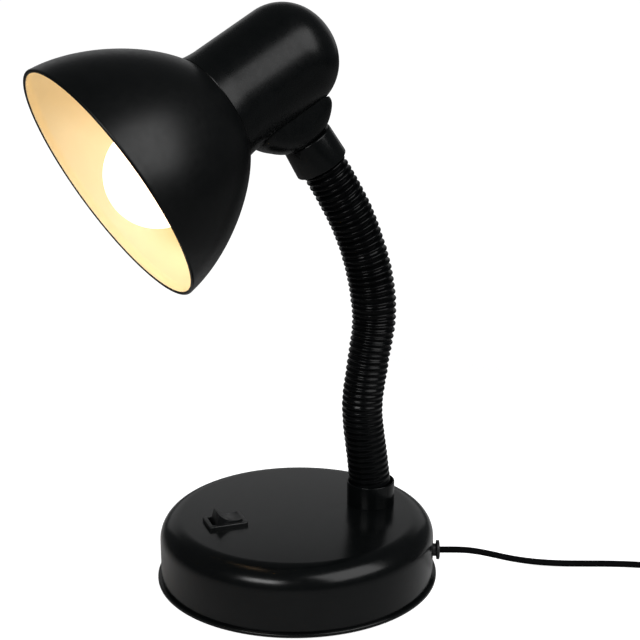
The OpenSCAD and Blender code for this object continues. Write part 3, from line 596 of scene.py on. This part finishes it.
def sleeve_ring(rib, x):
    """Ring of the sleeve's outside, x pitches from the crest of a rib. Each rib is a little uneven in depth,
    radius and place, and grooves are deeper on the outside of a bend."""
    s = (rib + 0.5 + x) * PITCH
    heading = np.interp(s, LENGTHS, HEADING)
    curve = np.interp(s, LENGTHS, BENDING)
    z = np.interp(s, LENGTHS, LINE[:, 2])
    y = np.interp(z, LOOSE[:, 1], LOOSE[:, 0])
    diameter, depth, flat = (np.interp(z, SLEEVE[:, 0], SLEEVE[:, k]) for k in (1, 2, 3))
    deeper, wider, further = UNEVEN[min(rib, len(UNEVEN) - 1)] * (0.07, 0.05, 0.06)
    bent = np.sign(curve) * min(1, abs(curve) * 60)
    depth *= 1 + deeper - 0.22 * bent * np.cos(AROUND) * (1 - flat)
    bead = 1 - math.sqrt(max(0, 1 - (x / BEAD) ** 2))
    wave = (1 - math.cos(2 * math.pi * x)) / 2
    radius = diameter / 2 + wider - depth * (flat * wave + (1 - flat) * bead)
    centre = np.array([0, y, z]) + np.array([0, math.sin(heading), math.cos(heading)]) * further * (1 - flat)
    return ring(centre, heading, np.maximum(radius, GROOVE_R))


def sleeve_bends():
    """The sleeve in seven pieces that meet in the middle of the links, one for each joint."""
    # Counted in ribs from the foot. The first rib is left out, and the last one ends inside the ferrule.
    seams = [1] + [int(round(s / PITCH)) for s in MIDDLE_AT[1:7]] + [int((LENGTHS[-1] - 0.4) / PITCH)]
    rib_steps = [-0.5, -0.46, *BEAD * np.sin(np.linspace(-math.pi / 2, math.pi / 2, 10)), 0.46]
    for k, (first, last) in enumerate(zip(seams, seams[1:])):
        rings = [sleeve_ring(rib, x) for rib in range(first, last) for x in rib_steps]
        rings.append(sleeve_ring(last, -0.5))
        rings += [bore_ring(s) for s in np.linspace(last * PITCH, first * PITCH, 10)]
        sleeve = piece("sleeve_bend_%d" % (k + 1), skin(rings, closed=True), sleeve_plastic, crease=70)
        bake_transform(sleeve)
        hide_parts(*(["neck_sleeve_1", "neck_sleeve_2"] if k == 0 else ["neck_sleeve_%d" % (k + 2)]))


def swivel_ferrule():
    """Ferrule that widens downwards, hollow below for the sleeve's end and bored for the nipple."""
    outline = rounded([
        (NIPPLE_R, 0), (13.15, 0, 0.7), (13.9, -16, 0.55), (11.5, -16, 0.3), (11.5, -9), (10.5, -9),
        (10.5, -3), (NIPPLE_R, -3)], closed=True)
    ferrule = piece("swivel_ferrule", placed(lathe(outline, closed=True), SWIVEL, FERRULE), black_paint)
    belongs(ferrule, "ferrule", "black_paint", "upper_ferrule")


sleeve_bends()
swivel_ferrule()

# ------------------------------------------------------------------ head

# The cap's lower edge flares onto the shade
SKIRT = [(CAP_R + (1 - t) ** 2, CAP_RIM - 1.6 + 9 * t) for t in np.linspace(0, 1, 12)]


def cap_dome():
    """Cylindrical cap with a domed end."""
    wall, dome = 0.8, 24.4
    inner_r, inner_top, edge = CAP_R - wall, CAP_TOP - wall, CAP_RIM - 1.95
    outside = rounded([SKIRT[-1], (CAP_R, CAP_TOP, dome), (0, CAP_TOP)], steps=22)
    inside = rounded([(0, inner_top), (inner_r, inner_top, dome - wall), (inner_r, SKIRT[-1][1])], steps=22)
    thin_skirt = [(r - wall, z) for r, z in SKIRT[-2::-1]]
    outline = [(28.3, edge)] + SKIRT + outside[1:] + inside + thin_skirt + [(27.9, edge)]
    cap = piece("cap_dome", placed(lathe(outline, 160, closed=True), HEAD, HEAD_AT), cap_paint)
    belongs(cap, "head", "black_paint", "cap_housing")


def swivel_disc():
    """Knuckle between the ferrule and the cap: a disc with round edges that stands on its edge. Its two ends
    beside the cap are drawn in, one of them more, and it is cut to the cap's round."""
    radius, half, disc_up, gap = 26, 15.5, 23.6, 0.12
    swivel = SWIVEL @ turn_z(HEAD_TURN)
    points, faces = lathe(rounded([(0, -half), (radius, -half, 11), (radius, half, 11), (0, half)], steps=12))
    x, y, z = points.T
    from_cap = np.hypot(HEAD_UP - disc_up + x, z) - CAP_R
    corner = np.clip((abs(y) - 10) / 13, 0, 1)
    pull = np.where(y > 0, 2.3, -0.9)
    points[:, 1] -= pull * corner * np.clip(1 - from_cap / 5.5, 0, 1.5) ** 2
    shape = placed((points, faces), swivel @ turn_y(90), FERRULE + swivel @ [0, -2.5, disc_up])
    disc = piece("swivel_disc", shape, cap_paint)
    room = [(0, CAP_RIM - 3), (28.6, CAP_RIM - 3)] + [(r + gap, z) for r, z in SKIRT]
    room += [(CAP_R + gap, 45), (0, 45)]
    carve(disc, [
        placed(lathe(room, 160), HEAD, HEAD_AT),
        placed(block((-40, -40, -40), (40, 40, 0.3)), SWIVEL, FERRULE),
        placed(rod(NIPPLE_R, -1, 30), SWIVEL, FERRULE),
    ], crease=30)
    belongs(disc, "head", "black_paint", "swivel_knuckle")


def shade_bell():
    """Bell shade: its outside from the mouth to the neck, its inside back to the mouth, and a rolled edge."""
    wall, mouth_r, lip_r, neck_r, neck_end, sides = 0.8, 63.5, 1.0, 26.65, 73, 160
    mouth, shoulder = np.array([mouth_r, 0.0]), np.array([27.8, 64.4])
    # The outside leaves the mouth at 4.4 degrees to the axis and meets the shoulder at 55
    flare, slant = np.array([-sin(4.4), cos(4.4)]), np.array([sin(55), -cos(55)])
    outer = bezier(mouth, mouth + 24.9 * flare, shoulder + 19.7 * slant, shoulder, 40)
    slope = np.gradient(outer, axis=0)
    slope /= np.linalg.norm(slope, axis=1)[:, None]
    inner = outer - wall * np.column_stack([slope[:, 1], -slope[:, 0]])
    lip = [(mouth_r - lip_r + lip_r * math.cos(a), 0.7 + lip_r * math.sin(a))
           for a in np.linspace(0.15, -math.pi - 0.5, 13)]
    outside = [*outer[1:], (neck_r, 65.4), (neck_r, neck_end), (neck_r - wall, neck_end), (neck_r - wall, 65)]
    inside = [*inner[-2:1:-1], (61.75, 2.6)]
    outline = [(r, MOUTH + s) for r, s in outside + inside + lip[::-1]]
    verts, faces = lathe(outline, sides, closed=True)
    cream = range(len(outside) - 1, len(outside) + len(inside) + 3)
    tones = [int(i // sides in cream) for i in range(len(faces))]
    shape = placed((verts, faces), HEAD, HEAD_AT)
    bell = piece("shade_bell", shape, shade_paint, enamel, crease=40, tones=tones)
    belongs(bell, "head", "shade_paint", "shade")


def bulb_globe():
    """Thin glass: a round globe, and a neck that narrows to the bulb's metal cap."""
    radius, wall, tip, globe_end = 25.5, 0.8, -89.5, 28
    centre = tip + radius
    arc = np.linspace(-90, globe_end, 40)[:-1]
    side = np.array([radius * cos(globe_end), centre + radius * sin(globe_end)])
    foot = np.array([12.7, -29.5])
    neck = bezier(side, side + 9 * np.array([-sin(globe_end), cos(globe_end)]), foot - [0, 9], foot, 14)
    outside = [(radius * cos(t), centre + radius * sin(t)) for t in arc] + [tuple(p) for p in neck]
    inside = [((radius - wall) * cos(t), centre + (radius - wall) * sin(t)) for t in arc]
    inside += [(r - wall, z) for r, z in neck]
    bulb = piece("bulb_globe", placed(lathe(outside + inside[::-1], 96), HOLDER, HOLDER_AT), frosted_glass)
    belongs(bulb, "head", "frosted_glass", "bulb_glass")


cap_dome()
swivel_disc()
shade_bell()
bulb_globe()

# ------------------------------------------------------------------ cord and plug


def cord_bush():
    """Gland with two flanges, one on each side of the shell's wall, and a flat slot for the cord."""
    flange, neck = 5.2, 3.4
    outline = rounded([
        (0, 69.7), (flange, 69.7, 0.3), (flange, 71.9, 0.3), (neck, 71.9), (neck, 75.1), (flange, 75.1, 0.3),
        (flange, 76.7, 0.5), (0, 76.7)])
    bush = piece("cord_bush", placed(lathe(outline, 64), GLAND_WAY, GLAND_AT), plug_plastic)
    carve(bush, [placed(block((-2.35, -1.5, 60), (2.35, 1.5, 90)), GLAND_WAY, GLAND_AT)])
    belongs(bush, "base", "plug_plastic", "cord_gland")


def coil_angle(point):
    return math.degrees(math.atan2(point[1] - COIL_AT[1], point[0] - COIL_AT[0]))


def coil():
    """Points of the coil: three rounds in each layer, outwards in, inwards out and outwards in, then part of
    one on top that widens towards the tail."""
    per_turn, layers, widening = 48, 3, 13
    climb = 0.14  # part of a round in which the cord goes over to the next row or layer
    radii = [COIL_R - CORD_W * k for k in range(ROUNDS)]
    # The coil keeps a little away from the run's end and the tail's start, for soft joins
    start = coil_angle(RUN[-1]) + 14
    last = (coil_angle(TAIL[0]) - start) % 360 / 360 - 0.02
    out = []
    for i in range(int(per_turn * (ROUNDS * layers + last)) + 1):
        turns = i / per_turn
        layer, row, part = int(turns // ROUNDS), int(turns % ROUNDS), turns % 1
        order = radii if layer % 2 == 0 else radii[::-1]
        over = ease(np.clip((part - 1 + climb) / climb, 0, 1))
        radius, height = order[row], CORD_T * (layer + 0.5)
        if row < ROUNDS - 1:
            radius += (order[row + 1] - radius) * over
        else:
            height += CORD_T * over
        if layer == layers:
            radius += widening * ease(part / last)
        angle = start + 360 * turns
        out.append(COIL_AT + [radius * cos(angle), radius * sin(angle), height])
    return out


def power_cord(path):
    """Flat twin cord along the path: two round halves with a groove between them on both faces."""
    ahead = np.gradient(path, axis=0)
    sides = np.column_stack([-ahead[:, 1], ahead[:, 0], np.zeros(len(ahead))])
    half, centre = CORD_T / 2, (CORD_W - CORD_T) / 2
    section = np.array([(centre + half * cos(t), half * sin(t)) for t in np.linspace(-128, 128, 10)])
    cord = piece("power_cord", sweep(path, np.vstack([section, -section]), sides), cord_plastic, crease=50)
    belongs(cord, "base", "cord_plastic", "cord_run", "cord_coil", "cord_tail")
    return cord


def plug_ring(s, wide, high):
    """Section of the plug at s along its axis: round on the boot, boxy on the body."""
    power = 2.0 + min(1.6, max(0, s - 24) * 0.25)
    angles = 2 * math.pi * np.arange(48) / 48
    x, y = (np.copysign(abs(v) ** (2 / power), v) for v in (np.sin(angles), np.cos(angles)))
    return np.column_stack([high * x, wide * y, np.full(48, s)])


def plug_moulding():
    """Flat plug, with bend ribs on its boot and grips on its body."""
    # distance along the axis, half width, half height
    sizes = [(0, 3.4, 3.0), (0.6, 3.7, 3.4)]
    for i in range(6):
        s, w = 2.0 + 3.4 * i, 3.9 + 0.33 * i
        sizes += [(s, w, w - 0.1), (s + 0.3, w - 0.8, w - 0.9), (s + 1.1, w - 0.8, w - 0.9)]
        sizes.append((s + 1.4, w + 0.1, w))
    sizes += [(23.5, 6.2, 6.2), (25.0, 8.2, 6.3), (26.2, 11.5, 6.35), (28.5, 14.6, 6.5), (32, 16.7, 6.7),
              (36, 17.5, 6.8)]
    sizes += [(s, 17.55 - 0.55 * (i % 2), 6.82) for i, s in enumerate(np.arange(38, 52, 1.4))]
    sizes += [(53, 17.6, 6.84), (58, 17.6, 6.84), (59.4, 17.3, 6.6), (60, 16.4, 5.8)]
    shape = placed(skin([plug_ring(*size) for size in sizes]), turn_y(-90), TAIL[-1])
    moulding = piece("plug_moulding", shape, plug_plastic, crease=50)
    belongs(moulding, "base", "plug_plastic", "plug_body")
    return moulding


def cord_tie():
    """Tie round the coil: a flat band, and its two ends twisted together on top."""
    inner, outer, low, top = 19.3, 33.7, 0.3, 9.0
    outward, up = np.array([cos(195), sin(195), 0]), np.array([0, 0, 1])
    along = np.cross(up, outward)
    loop = np.array(rounded([(inner, low, 1.6), (outer, low, 1.6), (outer, top, 2.2), (inner, top, 2.2)],
                            closed=True, steps=8))
    ahead = np.roll(loop, -1, axis=0) - np.roll(loop, 1, axis=0)
    normal = np.column_stack([ahead[:, 1], -ahead[:, 0]]) / np.linalg.norm(ahead, axis=1)[:, None]
    rings = []
    for proud, across in ((-0.25, -1.7), (0.1, -1.85), (0.3, -1.3), (0.3, 1.3), (0.1, 1.85), (-0.25, 1.7)):
        edge = loop + normal * proud
        rings.append(COIL_AT + edge[:, :1] * outward + edge[:, 1:] * up + across * along)
    shapes = [skin(rings, closed=True)]
    t = np.linspace(0, 1, 40)[:, None]
    twist = 0.55 * np.minimum(1, 4 * t + 0.4)
    wire = [(0.5 * cos(a), 0.5 * sin(a)) for a in range(0, 360, 45)]
    for first in (0, 180):
        angle = first + 900 * t
        swirl = twist * (cos(angle) * outward + sin(angle) * up)
        strand = COIL_AT + 27 * outward + (top + 0.9) * up + (1.0 + 12 * t) * along + swirl
        shapes.append(sweep(strand, wire, np.tile(outward, (len(t), 1))))
    tie = piece("cord_tie", joined(*shapes), plug_plastic, crease=50)
    belongs(tie, "base", "plug_plastic")
    return tie


cord_bush()
route = np.array([*spline(RUN, 2.5), *coil(), *spline(TAIL, 3)])
flex = power_cord(route)
plug = plug_moulding()
tie = cord_tie()

# ------------------------------------------------------------------ floor, light, camera


def floor_material():
    """Pale floor, darker further out: that is painted shade, so that the lamp's lower faces mirror a dim
    floor.
    Light for the camera alone makes it read white out to the horizon, and the lamp's shadow stays."""
    t = Tree("floor", 0.0)
    # Painted shade: the floor's colour falls from 0.62 near the lamp to 0.20 further out, so the lamp mirrors
    # a dim floor
    colour = t.tint(t.reach(), (0.62, 0.62, 0.62), (0.20, 0.20, 0.20), 0.1, 0.38)
    t.finish(colour, t.spread(t.noise(60, 2), 0.8, 0.9), t.bump(t.noise(3, 2), 0.01))
    rays = t.add("ShaderNodeLightPath")
    scale = t.add("ShaderNodeMath", operation="MULTIPLY")
    t.link(rays.outputs["Is Camera Ray"], scale.inputs[0])
    t.link(t.spread(t.reach(), 0.87, 1.0, 0.35, 0.8), scale.inputs[1])
    glow = t.add("ShaderNodeEmission")
    t.link(scale.outputs[0], glow.inputs["Strength"])
    both = t.add("ShaderNodeAddShader")
    t.link(t.shader.outputs[0], both.inputs[0])
    t.link(glow.outputs[0], both.inputs[1])
    out = next(n for n in t.tree.nodes if n.type == "OUTPUT_MATERIAL")
    t.link(both.outputs[0], out.inputs["Surface"])
    return t.material


def studio_world():
    """A faint cool light from all round, white where the camera sees it, also through glass."""
    world = bpy.data.worlds.new("studio")
    scene.world = world
    world.use_nodes = True
    tree = world.node_tree
    tree.nodes.clear()
    rays = tree.nodes.new("ShaderNodeLightPath")
    seen = tree.nodes.new("ShaderNodeMath")
    seen.operation = "MAXIMUM"
    tree.links.new(rays.outputs["Is Camera Ray"], seen.inputs[0])
    tree.links.new(rays.outputs["Is Transmission Ray"], seen.inputs[1])
    mix = tree.nodes.new("ShaderNodeMixShader")
    tree.links.new(seen.outputs[0], mix.inputs["Fac"])
    for k, colour, strength in ((1, (0.93, 0.97, 1.0, 1), 0.10), (2, (1, 1, 1, 1), 1.0)):
        background = tree.nodes.new("ShaderNodeBackground")
        background.inputs["Color"].default_value = colour
        background.inputs["Strength"].default_value = strength
        tree.links.new(background.outputs[0], mix.inputs[k])
    out = tree.nodes.new("ShaderNodeOutputWorld")
    tree.links.new(mix.outputs[0], out.inputs["Surface"])


def softbox(name, azimuth, elevation, distance, size, radiance):
    """A rectangle of light that the desk lamp sees in that direction, with that radiance. Sizes in metres."""
    light = bpy.data.lights.new(name, "AREA")
    light.shape, light.size, light.size_y = "RECTANGLE", *size
    light.energy = radiance * math.pi * size[0] * size[1]
    obj = bpy.data.objects.new(name, light)
    scene.collection.objects.link(obj)
    way = Vector((cos(elevation) * cos(azimuth), cos(elevation) * sin(azimuth), sin(elevation)))
    obj.location = Vector((0, 0, 0.15)) + distance * way
    obj.rotation_mode = "QUATERNION"
    obj.rotation_quaternion = (-way).to_track_quat("-Z", "Y")
    obj.visible_camera = False


def photo_camera():
    """Camera at the photograph's place: where it stands in metres, and its heading, how far it looks down and
    its roll in degrees."""
    at, heading, down, roll = (0.6694, -0.2274, 0.3482), 160.1968, 16.2188, -0.2234
    camera = bpy.data.objects.new("camera", bpy.data.cameras.new("camera"))
    scene.collection.objects.link(camera)
    scene.camera = camera
    camera.data.lens, camera.data.sensor_width = 80.44, 36
    camera.data.clip_start, camera.data.clip_end = 0.01, 100
    turn = turn_z(heading - 90) @ turn_x(90 - down) @ turn_z(roll)
    camera.matrix_world = Matrix.Translation(at) @ Matrix(turn.tolist()).to_4x4()


def floor():
    half, z = 9000, -0.05
    corners = np.array([(-half, -half, z), (half, -half, z), (half, half, z), (-half, half, z)])
    piece("floor", (corners, [(0, 1, 2, 3)]), floor_material())


floor()
studio_world()
softbox("key", 34, 41, 1.6, (1.3, 1.15), 5.3)
softbox("fill", -49, 28, 1.5, (0.70, 0.34), 16)
softbox("backdrop", 162, 16, 2.5, (3.5, 1.1), 0.42)
photo_camera()
scene.view_settings.view_transform = "Standard"
